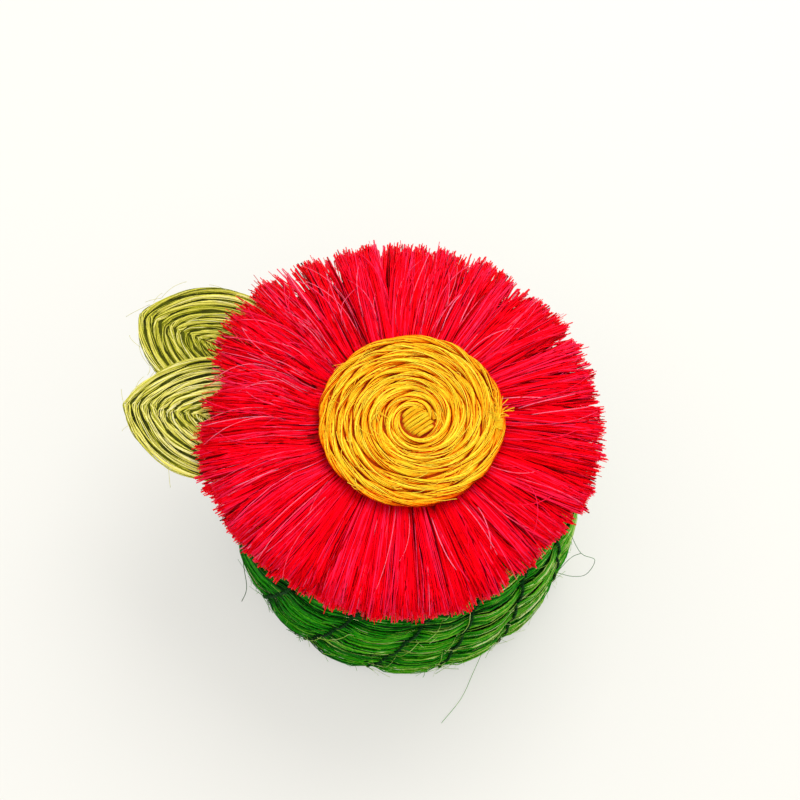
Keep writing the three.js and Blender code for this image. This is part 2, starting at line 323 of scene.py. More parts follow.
def packed_fibre(name, slot, dark, light):
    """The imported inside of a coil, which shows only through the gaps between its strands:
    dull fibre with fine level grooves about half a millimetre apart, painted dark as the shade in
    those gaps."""
    material, tree, output = new_material(name)
    place = add_node(tree, "ShaderNodeTexCoord")
    level = add_node(
        tree, "ShaderNodeMapping", {"Vector": place.outputs["Object"]}, Scale=(0.12, 0.12, 1)
    )
    grooves = add_node(
        tree, "ShaderNodeTexNoise", {"Vector": level.outputs["Vector"]}, Scale=1 / (0.5 * MM)
    )
    ramp = add_node(tree, "ShaderNodeValToRGB", {"Fac": grooves.outputs["Fac"]})
    ramp.color_ramp.elements[0].position = 0.35
    ramp.color_ramp.elements[0].color = linear(dark)
    ramp.color_ramp.elements[1].position = 0.7
    ramp.color_ramp.elements[1].color = linear(light)
    bump = add_node(
        tree, "ShaderNodeBump", {"Height": grooves.outputs["Fac"]}, Strength=0.8, Distance=0.3 * MM
    )
    links = {"Base Color": ramp.outputs["Color"], "Normal": bump.outputs["Normal"]}
    shader = add_node(
        tree, "ShaderNodeBsdfPrincipled", links, Roughness=0.8, Specular_IOR_Level=0.1
    )
    tree.links.new(shader.outputs["BSDF"], output.inputs["Surface"])
    return material, slot


def finish_piece(piece, look, *nodes):
    """The finished piece takes its material, hides its CAD nodes and rides on the body."""
    material, slot = look
    piece.data.materials.clear()
    piece.data.materials.append(material)
    if nodes:
        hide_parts(*nodes)
    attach(piece, "root")


def wall_middle(height):
    """The radius of the wall's middle, which draws in from the widest height to the rim."""
    rise = np.maximum(0, height - WIDEST_HEIGHT) / (BASKET_HEIGHT - WIDEST_HEIGHT)
    return BASKET_RADIUS - WALL_HALF - RIM_DRAWN_IN * rise**2


def wall_outside(height):
    """The wall's outer radius: each round swells between two grooves, and the foot is rounded."""
    from_rim = (BASKET_HEIGHT - height) / ROUND_HEIGHT
    groove = ROUND_GROOVE * (1 - np.abs(np.sin(np.pi * from_rim))) ** 1.5
    sunk = np.clip(FOOT_ROUNDING - height, 0, FOOT_ROUNDING)
    rounding = FOOT_ROUNDING - np.sqrt(FOOT_ROUNDING**2 - sunk**2)
    return wall_middle(height) + WALL_HALF - groove - rounding


def stitch_lines():
    """The bearing of each line of stitches at the foot and at the rim, in degrees."""
    first, last = np.array(SEEN_STITCHES[0]), np.array(SEEN_STITCHES[-1])
    shares = np.arange(1, HIDDEN_STITCHES + 1)[:, None] / (HIDDEN_STITCHES + 1)
    return np.concatenate([np.array(SEEN_STITCHES), last + (first + 360 - last) * shares])


STITCHES = stitch_lines()


def turn_from(middle, bearing):
    """The shorter way round from one bearing to another, in degrees."""
    return (bearing - middle + 180) % 360 - 180


def thread_pull(bearing, height, reach):
    """How strongly the nearest line of stitches pulls, from 1 on the thread to 0 away from it."""
    share = np.clip(height / BASKET_HEIGHT, 0, 1)[..., None]
    lines = STITCHES[:, 0] + (STITCHES[:, 1] - STITCHES[:, 0]) * share
    away = np.abs(turn_from(lines, bearing[..., None])).min(-1)
    return np.exp(-((away / reach) ** 2))


def around(bearing, radius, height):
    """Points at bearings in degrees from the front, which grow towards +X."""
    angle = np.radians(bearing)
    bearing, radius, height = np.broadcast_arrays(angle, radius, height)
    return np.stack([radius * np.sin(angle), -radius * np.cos(angle), height], axis=-1)


# Sisal dyed a full leaf green, with pale undyed hairs. Darker in the grooves and brighter on the
# strands is painted shade and light, and the packed coil is painted dark as shade
green_packed = packed_fibre("packed_green_fibre_painted_shade", "green_fibre", "#021A03", "#0C4406")
green = dyed_fibre(
    "green_dyed_fibre",
    "green_fibre",
    [
        (0.0, "#002402"), (0.2, "#005602"), (0.45, "#148A02"),
        (0.66, "#4CA60C"), (0.85, "#98BE46"), (1.0, "#D2E49C")
    ],
    "#A8F080",
)

CORE_MIDDLE = 20 * MM
core_heights = np.linspace(0.9 * MM, BASKET_HEIGHT - 0.4 * MM, 46)
core_rings = [(CORE_MIDDLE, float(core_heights[0]))]
core_rings += [(float(wall_outside(h)) - STRAND_DEPTH, float(h)) for h in core_heights]
inside_heights = [h for h in core_heights[::-3] if h > BASE_THICKNESS]
core_rings += [(float(wall_middle(h)) - WALL_HALF, float(h)) for h in inside_heights]
core_rings += [(CORE_MIDDLE, BASE_THICKNESS)]
basket_core = turn_core("basket_packed_coil", core_rings)
finish_piece(basket_core, green_packed, "basket_coil")


def painted_side_shading(bearing, height=BASKET_HEIGHT):
    """Painted light and shade, as a shift of tone: darker on the left, away from the lamp, and
    lighter on the right, towards it, most of all near the foot."""
    side = np.sin(np.radians(bearing + 15))
    return np.where(side > 0, 0.22 + 0.2 * np.exp(-height / (14 * MM)), 0.34) * side


def start_fibres(count, points, seed):
    """What a group of fibres starts from: a seeded source of chance, its even and its bell-shaped
    draws with one number for each fibre, and how far along a fibre each of its points lies."""
    random = np.random.default_rng(seed)

    def even(low, high):
        return random.uniform(low, high, (count, 1))

    def bell(middle, width):
        return random.normal(middle, width, (count, 1))

    return random, even, bell, np.linspace(0, 1, points)[None, :]


def tapered(share):
    """How thick a combed fibre is along its length: thin at both ends."""
    return np.clip(np.minimum(share, 1 - share) * 12, 0.25, 1)


def wall_strands(count, points, seed):
    """Level strands over the whole outside of the wall, from the foot to the rim."""
    random, even, bell, share = start_fibres(count, points, seed)
    start = even(0, 360)
    sweep = even(50, 125) * random.choice([-1, 1], (count, 1))
    bearing = start + sweep * share
    level = even(0.6 * MM, BASKET_HEIGHT)
    drift = bell(0, 1.3 * MM) * (share - 0.5)
    ripples = even(4, 14)
    wave = 0.35 * MM * np.sin(share * ripples + even(0, 6))
    height = level + drift + wave
    rounds_down = np.floor((BASKET_HEIGHT - level) / ROUND_HEIGHT) + 0.5
    middle = BASKET_HEIGHT - rounds_down * ROUND_HEIGHT
    pull = thread_pull(bearing, height, 3.5)
    sag = 0.9 * MM * (1 - thread_pull(bearing, height, 11))
    height = middle + (height - middle) * (1 - 0.22 * pull) - sag
    height = np.clip(height, 0.6 * MM, BASKET_HEIGHT + 0.1 * MM)
    depth = even(-0.75, 0.15) * MM
    radius = wall_outside(height) + depth + 0.35 * MM - STITCH_PULL * pull
    lines = around(bearing, radius, height)
    outward = around(bearing, 1.0, 0.0)
    # Painted shade and light: deeper strands and strands pinched by the thread are darker, and the
    # left and right sides take painted shade and light
    tone = bell(0.45, 0.2) + 0.25 * depth / MM - 0.22 * pull
    tone = tone + painted_side_shading(bearing, height)
    pale = even(0, 1) < 0.1
    tone = np.where(pale, even(0.75, 1.0), tone)
    size = even(0.15, 0.45) * MM
    size = np.where(pale, 0.4 * size, size)
    return lines, size * tapered(share), tone, outward


lay_fibres("basket_wall_strands", green, *wall_strands(count=1000, points=20, seed=11), flat=0.5)


def base_strands(count, points, seed):
    """The underside, where the coil lies flat: strands in rounds that narrow to the middle."""
    random, even, bell, share = start_fibres(count, points, seed)
    radius = BASKET_RADIUS * np.sqrt(even(0.004, 0.86))
    bearing = even(0, 360) + even(60, 150) * share
    radius = radius + bell(0, 1.0 * MM) * (share - 0.5)
    radius = np.maximum(radius, 0.8 * MM)
    groove = 0.6 * MM * (1 - np.abs(np.sin(np.pi * radius / (8 * MM)))) ** 1.5
    height = even(0.3, 0.8) * MM + groove
    lines = around(bearing, radius, height)
    tone = random.normal(0.4, 0.2, count)
    size = even(0.25, 0.55) * MM
    return lines, size * tapered(share), tone


strands = base_strands(count=300, points=16, seed=12)
lay_fibres("basket_base_strands", green, *strands, outward=(0, 0, -1), flat=0.5)


def frays(count, points, seed):
    """Short broken fibre ends that stand off the wall, most of them near the foot."""
    random, even, bell, share = start_fibres(count, points, seed)
    level = BASKET_HEIGHT * even(0.03, 0.95) ** 1.8
    sweep = bell(0, 5) * share + bell(0, 3) * share**2
    tufted = even(0, 1) < 0.35
    tufts = random.choice(STITCHES[:, 0], (count, 1)) + bell(0, 3)
    bearing = np.where(tufted, tufts, even(0, 360))
    level = np.where(tufted, level * 0.3, level)
    stand = even(0.3, 1) ** 2 * np.where(tufted, 2.4, 2.0) * MM * share**1.4
    height = level + bell(-0.8, 1.4) * MM * share
    height = np.maximum(height, 0.2 * MM)
    radius = wall_outside(level) - 0.3 * MM + stand
    size = even(0.035, 0.075) * MM
    # The frays take the same painted side light and shade as the wall
    tone = random.normal(0.72, 0.18, count) + painted_side_shading(bearing)[:, 0]
    return around(bearing + sweep, radius, height), size, tone


lay_fibres("basket_frays", green, *frays(count=660, points=6, seed=13))


def curved_route(corners, count):
    """A smooth route through a few points."""
    corners = np.asarray(corners, float) * MM
    before, beyond = 2 * corners[:1] - corners[1:2], 2 * corners[-1:] - corners[-2:-1]
    padded = np.concatenate([before, corners, beyond])
    at = np.linspace(0, len(corners) - 1 - 1e-6, count)
    first = at.astype(int)
    part = (at - first)[:, None]
    a, b, c, d = (padded[first + step] for step in range(4))
    bend = 2 * a - 5 * b + 4 * c - d + (3 * b - a - 3 * c + d) * part
    return 0.5 * (2 * b + (c - a + bend * part) * part)


# Loose hairs of the basket, as points in millimetres: a fine loop on the right, its tail,
# a strand that hangs off on the left, and one that trails on the floor in front.
LOOSE_HAIRS = [
    [
        (44.0, -16.5, 31), (47.2, -21.5, 28), (51.2, -22.4, 25),
        (49.1, -25.4, 22), (45.4, -25.7, 21), (41.3, -24.3, 20),
    ],
    [(47.2, -21.5, 28), (44.8, -21.8, 25), (41.6, -24.0, 20)],
    [(-41.0, -21.5, 41), (-41.9, -26.0, 34), (-41.4, -31.0, 28), (-43.2, -33.0, 22)],
    [(22.0, -41.0, 1.2), (19.4, -46.5, 0.4), (15.8, -54.0, 0.3), (10.3, -60.8, 0.3)],
]
# Pale strands that lie loosely over the wall beside a line of stitches: their bearing and
# height in millimetres at the foot and at the rim
LOOSE_STRANDS = [((-9.5, 5), (14.5, 49)), ((-36, 7), (-16, 33)), ((10, 9), (21, 44))]
LOOSE_STRANDS += [((-29, 17), (-4, 24)), ((36, 30), (55, 36))]
HAIR_POINTS = 26
hairs = [curved_route(corners, HAIR_POINTS) for corners in LOOSE_HAIRS]
for (foot_bearing, foot_height), (rim_bearing, rim_height) in LOOSE_STRANDS:
    heights = np.linspace(foot_height, rim_height, HAIR_POINTS) * MM
    bearings = np.linspace(foot_bearing, rim_bearing, HAIR_POINTS)
    bearings = bearings + 0.8 * np.sin(heights / (5 * MM))
    hairs.append(around(bearings, wall_outside(heights) + 0.35 * MM, heights))
size = np.array([0.09, 0.09, 0.12, 0.075] + [0.1] * len(LOOSE_STRANDS))[:, None] * MM
tone = np.array([0.3, 0.3, 0.15, 0.7] + [0.86] * len(LOOSE_STRANDS))
lay_fibres("basket_loose_hairs", green, np.array(hairs), size, tone, (0.3, 0.2, 1))

# Sewing thread: one dark green two-ply thread holds the rounds together. Each line of stitches
# climbs the wall with a lean, takes a turn round itself in each groove, and runs on under the base.
THREAD_FOOT_HEIGHT = 2.6 * MM
THREAD_RIM_DROP = 0.8 * MM
BASE_THREAD_HEIGHT = 0.6 * MM
PLY_RADIUS = 0.28 * MM
PLY_TWIST_LENGTH = 2.8 * MM
WRAP_RADIUS = 0.19 * MM
WRAP_TWIST_LENGTH = 1.1 * MM


def distance_along(route):
    """How far along a route each of its points lies."""
    return np.concatenate([[0], np.cumsum(np.linalg.norm(np.diff(route, axis=0), axis=1))])


def even_route(corners, count):
    """Points at even distances along a route through a few corners, in straight runs."""
    run = distance_along(corners)
    at = np.linspace(0, run[-1], count)
    return np.stack([np.interp(at, run, corners[:, axis]) for axis in range(3)], axis=-1)


def route_axes(route, outward):
    """The way across and the way up at each point of a route, and its distance along."""
    ahead = unit(np.gradient(route, axis=0))
    across = unit(np.cross(outward, ahead))
    return across, np.cross(ahead, across), distance_along(route)


def wind_round(route, outward, radius, twist_length, phases):
    """Strands that wind round a route, one for each phase, in radians."""
    across, up, along = route_axes(route, outward)
    angle = 2 * np.pi * along / twist_length + np.asarray(phases)[:, None]
    return route + radius * (np.cos(angle)[..., None] * across + np.sin(angle)[..., None] * up)


def stitch_route(foot_bearing, rim_bearing):
    """From under the base, round the foot and up the wall to the rim."""
    heights = np.linspace(THREAD_FOOT_HEIGHT, BASKET_HEIGHT - THREAD_RIM_DROP, 40)
    share = (heights - heights[0]) / (heights[-1] - heights[0])
    bearing = foot_bearing + (rim_bearing - foot_bearing) * share
    drawn_in = 0.2 * MM + 0.7 * MM * np.exp(-heights / (4 * MM))
    wall_part = around(bearing, wall_outside(heights) - drawn_in, heights)
    lean = (rim_bearing - foot_bearing) / (heights[-1] - heights[0])
    foot_heights = np.array([0.55, 0.8, 1.3, 1.9]) * MM
    foot_bearings = foot_bearing + lean * (foot_heights - THREAD_FOOT_HEIGHT)
    foot_part = around(foot_bearings, wall_outside(foot_heights) - 1.0 * MM, foot_heights)
    base_radii = np.linspace(5 * MM, 42 * MM, 8)
    under = around(foot_bearings[0] + lean * (base_radii - 44 * MM), base_radii, BASE_THREAD_HEIGHT)
    return np.concatenate([under, foot_part, wall_part])


# Fibre spun to a thread and dyed almost black green, so dull that it reads as a drawn line
dark_green = dyed_fibre(
    "dark_green_sewing_thread",
    "dark_green_thread",
    [(0.0, "#001203"), (0.5, "#032A08"), (1.0, "#0E4A12")],
    "#A8F0B0",
    roughness=0.6,
    gloss=0.08,
)

for number, (foot_bearing, rim_bearing) in enumerate(STITCHES, start=1):
    random = np.random.default_rng(200 + number)
    route = even_route(stitch_route(foot_bearing, rim_bearing), 150)
    outward = unit(route * np.array([1, 1, 0]) + np.array([0, 0, -0.02]))
    plies = wind_round(route, outward, 0.21 * MM, PLY_TWIST_LENGTH, [0, np.pi])
    knots = []
    for groove in range(1, 4):
        height = BASKET_HEIGHT - groove * ROUND_HEIGHT
        nearest = int(np.argmin(np.abs(route[:, 2] - height) + 10 * (route[:, 2] < 2 * MM)))
        knot_route = even_route(route[nearest - 2 : nearest + 3], 36)
        knot_outward = np.broadcast_to(outward[nearest], knot_route.shape)
        wrap = wind_round(knot_route, knot_outward, 2 * WRAP_RADIUS, WRAP_TWIST_LENGTH, [0])
        knots.append(wrap[0])
    tone = random.uniform(0.3, 0.8, 2)
    nodes = [f"wall_stitch_{number:02d}"]
    thread = f"wall_thread_{number:02d}"
    lay_fibres(thread, dark_green, plies, PLY_RADIUS, tone, outward, sides=6, nodes=nodes)
    tone = random.uniform(0.3, 0.8, 3)
    aslant = unit(route[70] * np.array([1, 1, 0])) + np.array([0, 0, 0.3])
    wraps = f"wall_knots_{number:02d}"
    lay_fibres(wraps, dark_green, np.array(knots), WRAP_RADIUS, tone, aslant, sides=5)

# Lid: the same green fibre coiled flat into a disc that rests on the rim.
# Only its edge shows, as a narrow lip below the flower, with long level strands round it.
LID_LOW, LID_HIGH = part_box("lid_coil")
LID_RADIUS = 45.0 * MM
LID_MIDDLE = (LID_LOW.z + LID_HIGH.z) / 2
LID_HALF = (LID_HIGH.z - LID_LOW.z) / 2
LID_ROUNDING = 2.6 * MM
LID_STRAND_DEPTH = 0.6 * MM
LID_CORE_MIDDLE = 6 * MM


def lid_outside(height):
    """The lid's outer radius: a straight band between two quarter rounds."""
    into = np.clip(np.abs(height - LID_MIDDLE) - (LID_HALF - LID_ROUNDING), 0, LID_ROUNDING)
    return LID_RADIUS - LID_ROUNDING + np.sqrt(LID_ROUNDING**2 - into**2)


lid_heights = np.linspace(LID_LOW.z + 0.1 * MM, LID_HIGH.z - 0.1 * MM, 12)
lid_rings = [(LID_CORE_MIDDLE, float(lid_heights[0]))]
lid_rings += [(float(lid_outside(h)) - LID_STRAND_DEPTH, float(h)) for h in lid_heights]
lid_rings += [(LID_CORE_MIDDLE, float(lid_heights[-1]))]
lid_core = turn_core("lid_packed_coil", lid_rings)
finish_piece(lid_core, green_packed, "lid_coil")


def lid_strands(count, points, seed):
    """Level strands round the lid's edge and its two shoulders."""
    _, even, bell, share = start_fibres(count, points, seed)
    bearing = even(0, 360) + even(40, 90) * share
    level = even(-1, 1) * LID_HALF + LID_MIDDLE
    height = level + bell(0, 0.6 * MM) * (share - 0.5)
    height = np.clip(height, LID_LOW.z + 0.15 * MM, LID_HIGH.z - 0.15 * MM)
    depth = even(-0.6, 0.1) * MM
    lines = around(bearing, lid_outside(height) + depth, height)
    # Painted shade: the lid's strands take a darker tone than the wall's, for the fringe's shadow
    # over them, and the same painted side light and shade
    tone = bell(0.32, 0.2) + painted_side_shading(bearing)
    size = even(0.15, 0.36) * MM
    return lines, size * tapered(share), tone, around(bearing, 1.0, 0.0)


lay_fibres("lid_edge_strands", green, *lid_strands(count=230, points=14, seed=21), flat=0.5)

# Seat ring: a smaller coil sewn under the lid, which drops into the mouth and keeps the lid
# from sliding. It is out of sight, so its plain CAD shape stays, with the packed fibre on it.
seat_ring = bpy.data.objects["lid_seat_ring"]
seat_ring.data.materials.clear()
seat_ring.data.materials.append(green_packed[0])

# Leaves: a strand of olive fibre folded to and fro into a flat pointed leaf, one V inside the
# next, and sewn so that it lies flat. Their roots are caught between the lid and the flower.
LEAF_TIP_LENGTH = 25.4 * MM
LEAF_ROOT_LENGTH = 16.0 * MM
LEAF_HALF_WIDTH = 17.2 * MM
FLOWER_CENTRE = np.array([-1.0, 0.25, 0]) * MM
BOUND_RADIUS = 24.0 * MM
# Name, bearing, where its tip points, its gap to the bound middle, how far its edge is drawn in
# and how much paler it is than the other
LEAVES = [
    ("leaf_upper", 244.7, 246, 9.8 * MM, 0.7 * MM, -0.14),
    ("leaf_lower", 269.1, 260, 4.3 * MM, 0, 0.06),
]
LEAF_STRANDS = 10
LEAF_STRAND_WIDTH = LEAF_HALF_WIDTH / (LEAF_STRANDS + 0.2)
LEAF_FIBRES = 20
LEAF_CORE_RADIUS = 0.44 * MM
LEAF_HAIRS = 9
LEAF_HAIR_RADIUS = 0.055 * MM
LEAF_ROOT_POINTS = 8
LEAF_TIP_POINTS = 24
LEAF_TIP_TURN = 0.7
LOOP_POINTS = 2 * (LEAF_ROOT_POINTS + LEAF_TIP_POINTS - 1) - 1


def leaf_loop(inset):
    """One turn of the leaf's strand, set in from the outline: from the root round to the tip,
    which it turns in a rounded V, and back. inset may differ at each point."""
    root_angle = np.linspace(0, np.pi / 2, LEAF_ROOT_POINTS)
    to_tip = 1 - (1 - np.linspace(0, 1, LEAF_TIP_POINTS)[1:]) ** 2.2
    there = np.concatenate([-np.cos(root_angle), to_tip])
    along = np.concatenate([there, there[-2::-1]])
    side = np.where(np.arange(len(along)) < len(there), 1, -1)
    half_width = np.maximum(LEAF_HALF_WIDTH - inset, 0.3 * MM)
    tip = np.maximum(LEAF_TIP_LENGTH - 1.28 * inset, 1.2 * MM)
    root = np.maximum(LEAF_ROOT_LENGTH - 0.9 * inset, 0.6 * MM)
    blunt = 1.3 + 0.9 * half_width / LEAF_HALF_WIDTH
    beyond = np.clip(along, 0, 1)
    before = np.clip(-along, 0, 1)
    narrow = np.maximum(1 - beyond**blunt, 0) ** LEAF_TIP_TURN * np.sqrt(1 - before**2)
    along = along * np.where(along < 0, root, tip)
    return np.stack([along, side * half_width * narrow, 0 * along], axis=-1)


# The same fibre in a weak olive dye, straw yellow, painted dark olive in the slits between strands
# as shade
olive = dyed_fibre(
    "olive_dyed_fibre",
    "olive_fibre",
    [
        (0.0, "#343C00"), (0.16, "#7A820C"), (0.34, "#C0BC30"),
        (0.56, "#E8DE66"), (0.78, "#FAF2A8"), (1.0, "#FFFCDC")
    ],
    "#FFF8C0",
    gloss=0.15,
    streak=0.3,
)
# The leaves' packed fibre is painted dark olive, as the shade between the loops
olive_packed = packed_fibre("packed_olive_fibre_painted_shade", "olive_fibre", "#1E2200", "#4C5008")


def leaf_lines(drawn_in, paler, seed):
    """The fibres of one leaf in its own frame, with the tip along +X, and its strands' middles."""
    random = np.random.default_rng(seed)
    lines, sizes, tones, middles = [], [], [], []
    along = np.linspace(0, 1, LOOP_POINTS)
    for strand in range(LEAF_STRANDS):
        middle = drawn_in + (strand + 0.55) * (LEAF_HALF_WIDTH - drawn_in) / (LEAF_STRANDS + 0.2)
        twist = random.uniform(0.6, 1.6) * random.choice([-1, 1])
        strand_tone = random.normal(0, 0.05) + paler
        sway = 0.13 * MM * np.sin(along * random.uniform(12, 22) + random.uniform(0, 6))
        swell = 0.38 + 0.07 * np.sin(along * random.uniform(25, 45) + random.uniform(0, 6))
        middles.append(leaf_loop(middle + sway))
        for fibre in range(LEAF_FIBRES):
            angle = 2 * np.pi * (fibre + random.uniform(-0.4, 0.4)) / LEAF_FIBRES
            angle = angle + 2 * np.pi * twist * along
            wander = 0.12 * MM * np.sin(along * random.uniform(15, 45) + random.uniform(0, 6))
            line = leaf_loop(middle - swell * LEAF_STRAND_WIDTH * np.cos(angle) + sway + wander)
            line[:, 2] = 0.62 * MM * np.sin(angle) + 0.6 * wander
            lines.append(line)
            sizes.append(random.uniform(0.09, 0.18) * MM)
            # Painted shade: fibres at a strand's sides, down in the slits, take a darker tone
            edge = np.abs(np.cos(angle)) ** 4
            tones.append(random.normal(0.56, 0.15) + strand_tone - 0.3 * edge)
    return np.array(lines), np.array(sizes)[:, None], np.array(tones), np.array(middles)


def leaf_hairs(count, points, seed):
    """Fine hairs that stand off the leaf's edge, most of them towards its tip."""
    random = np.random.default_rng(seed)
    edge = leaf_loop(0.6 * MM)
    start = random.integers(LEAF_ROOT_POINTS, LOOP_POINTS - LEAF_ROOT_POINTS, count)
    share = np.linspace(0, 1, points)[None, :, None]
    ahead = np.gradient(edge, axis=0)[start]
    ahead = unit(ahead)[:, None, :] * random.choice([-1, 1], (count, 1, 1))
    off = unit(edge[start])[:, None, :]
    length = random.uniform(2, 9, (count, 1, 1)) * MM
    curl = random.normal(0, 1.6, (count, 1, 1)) * MM * share**2
    stand = random.uniform(0.3, 2.6, (count, 1, 1)) * MM * np.sin(0.5 * np.pi * share)
    upright = np.array([0, 0, 1]) * random.uniform(0, 1.5, (count, 1, 1)) * MM * share
    return edge[start][:, None, :] + ahead * length * share + off * (stand + curl) + upright


def turn_flat(points, degrees, middle):
    """Points turned about +Z and moved to their place."""
    angle = math.radians(degrees)
    cosine, sine = math.cos(angle), math.sin(angle)
    x = points[..., 0] * cosine - points[..., 1] * sine
    y = points[..., 0] * sine + points[..., 1] * cosine
    return np.stack([x, y, points[..., 2]], axis=-1) + middle


for number, (leaf, bearing, points_to, root_gap, drawn_in, paler) in enumerate(LEAVES):
    low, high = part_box(leaf)
    distance = BOUND_RADIUS + root_gap + LEAF_ROOT_LENGTH
    middle = FLOWER_CENTRE + around(bearing, distance, (low.z + high.z) / 2)
    turn = points_to - 90
    lines, size, tone, middles = leaf_lines(drawn_in, paler, seed=31 + number)
    outward = turn_flat(lines - np.repeat(middles, LEAF_FIBRES, axis=0), turn, 0)
    lines = turn_flat(lines, turn, middle)
    lay_fibres(leaf + "_strands", olive, lines, size, tone, outward, flat=0.6, nodes=[leaf])
    middles = turn_flat(middles, turn, middle)
    tone = np.full(LEAF_STRANDS, 0.18)
    lay_fibres(leaf + "_strand_cores", olive, middles, LEAF_CORE_RADIUS, tone, sides=5)
    lines = turn_flat(leaf_hairs(LEAF_HAIRS, points=9, seed=37 + number), turn, middle)
    lay_fibres(leaf + "_hairs", olive, lines, LEAF_HAIR_RADIUS, np.full(LEAF_HAIRS, 0.4))

    # A thin slab under the loops, painted dark olive as the shade that shows between them
    outline = turn_flat(leaf_loop(drawn_in + 0.8 * MM), turn, middle)[:-1]
    bpy.ops.object.select_all(action="DESELECT")
    bpy.ops.mesh.primitive_circle_add(vertices=len(outline), fill_type="NGON")
    slab = bpy.context.object
    slab.name = leaf + "_packed_coil"
    for vertex, corner in zip(slab.data.vertices, outline):
        vertex.co = corner - np.array([0, 0, 0.3 * MM])
    bpy.ops.object.mode_set(mode="EDIT")
    bpy.ops.mesh.extrude_region_move(TRANSFORM_OT_translate={"value": (0, 0, 0.6 * MM)})
    bpy.ops.mesh.select_all(action="SELECT")
    bpy.ops.mesh.normals_make_consistent(inside=False)
    bpy.ops.object.mode_set(mode="OBJECT")
    finish_piece(slab, olive_packed)

# Petal fringe: hanks of red fibre bound flat at their middle and sewn to the lid, combed out all
# round in clumps and cut to one length with shears. The cut ends are ragged, dark gaps open
# between clumps, a few hairs stray over the rest, and the whole rides up over the leaves.
FLOWER_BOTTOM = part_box("petal_fringe")[0].z
LEAF_STACK = 4.0 * MM
LEAVES_FROM, LEAVES_TO = 222, 294
RISE_MARGIN = 7.5
RISE_SPREAD = 15
FRINGE_REACH = 49.6 * MM
FRINGE_ROOT = 17 * MM
# The bearing round which the cut ends are most ragged, and how far that spreads
RAGGED_MIDDLE = 231
RAGGED_HALF = 32
# Places where the fringe was cut shorter: bearing, half width in degrees, and how much
CUT_SHORT = [(259.5, 4, 6.0 * MM), (268, 11, 1.8 * MM), (140, 6, 2.0 * MM), (47, 13, 2.3 * MM)]
CUT_SHORT += [(28, 9, 1.3 * MM), (97, 10, 0.9 * MM), (251, 6, 1.2 * MM), (330, 14, 0.8 * MM)]
# Places where its hanks have parted: bearing, and how far each side moved over, in degrees
PARTINGS = [(119, 1.7), (108, 1.5), (96, 1.2), (142, 1.2), (56, 0.8), (39, 0.6), (84, 0.9)]
PARTINGS += [(271, 1.3), (158, 0.9), (204, 1.2), (218, 1.1)]


def ease(value, low, high):
    """A smooth step from 0 at low to 1 at high."""
    share = np.clip((value - low) / (high - low), 0, 1)
    return share * share * (3 - 2 * share)


def fringe_rise(bearing, radius, run=9.0 * MM):
    """How far the fringe rides up over the leaves."""
    bearing = bearing % 360
    beside = np.maximum(LEAVES_FROM - RISE_MARGIN - bearing, bearing - LEAVES_TO - RISE_MARGIN)
    above_leaves = 1 - ease(beside, 0, RISE_SPREAD)
    return LEAF_STACK * above_leaves * ease(radius, BOUND_RADIUS, BOUND_RADIUS + run)


def fringe_reach(bearing):
    """How far from the middle the fringe is cut at a bearing."""
    reach = np.full(np.shape(bearing), FRINGE_REACH)
    for middle, half, cut in CUT_SHORT:
        away = turn_from(middle, bearing)
        reach = reach - cut * np.exp(-((away / half) ** 2))
    return reach


def parted(bearing, share):
    """Bearings moved over beside the partings, and how near each point is to one."""
    near = np.zeros(np.shape(bearing))
    for middle, opening in PARTINGS:
        away = turn_from(middle, bearing)
        near = np.maximum(near, np.exp(-((away / 2.2) ** 2)))
        moved = opening * share**1.3 * (1 - 0.55 * share**5)
        bearing = bearing + moved * np.sign(away) * np.exp(-np.abs(away) / 3)
    return bearing, near


# Straight combed fibre dyed scarlet: silky, with pink lights on the palest fibres. Deep red in
# the partings and at the roots is painted shade, and the packed fibre under it is painted dark as
# shade
red_packed = packed_fibre("packed_red_fibre_painted_shade", "red_fibre", "#7A0004", "#C4000A")
red = dyed_fibre(
    "red_dyed_fibre",
    "red_fibre",
    [
        (0.0, "#580002"), (0.16, "#C60004"), (0.36, "#FF000E"),
        (0.66, "#FF0022"), (0.84, "#FF2C60"), (1.0, "#FF9CBA")
    ],
    "#FF4064",
    root_shade=0.72,
    root_ends=0.22,
    roughness=0.34,
    gloss=0.14,
    streak=0.14,
)

# The packed fibre's profile: radius, and height over the flower's underside, in millimetres
FRINGE_PACKED = [(10, 0.1), (24, 0.1), (29, 0.2), (36, 0.3), (43, 0.5)]
FRINGE_PACKED += [(43, 1.2), (36, 1.6), (29, 2.2), (24, 2.8), (10, 2.9)]
fringe_rings = [(radius * MM, FLOWER_BOTTOM + height * MM) for radius, height in FRINGE_PACKED]
fringe_core = turn_core("fringe_packed_fibre", fringe_rings)
for vertex in fringe_core.data.vertices:
    spot = math.degrees(math.atan2(vertex.co.x, -vertex.co.y))
    short = min(1, float(fringe_reach(spot) - 6.6 * MM) / (43 * MM))
    distance = short * math.hypot(vertex.co.x, vertex.co.y)
    run = 4 * MM if vertex.co.z < FLOWER_BOTTOM + 0.8 * MM else 9 * MM
    vertex.co.z += float(fringe_rise(spot, distance, run))
    vertex.co.x = vertex.co.x * short + FLOWER_CENTRE[0]
    vertex.co.y = vertex.co.y * short + FLOWER_CENTRE[1]
finish_piece(fringe_core, red_packed, "petal_fringe")

# Each clump ends in a few small tufts, into which its fibres are drawn together
TUFTS = 4
TUFT_PULL = 0.55


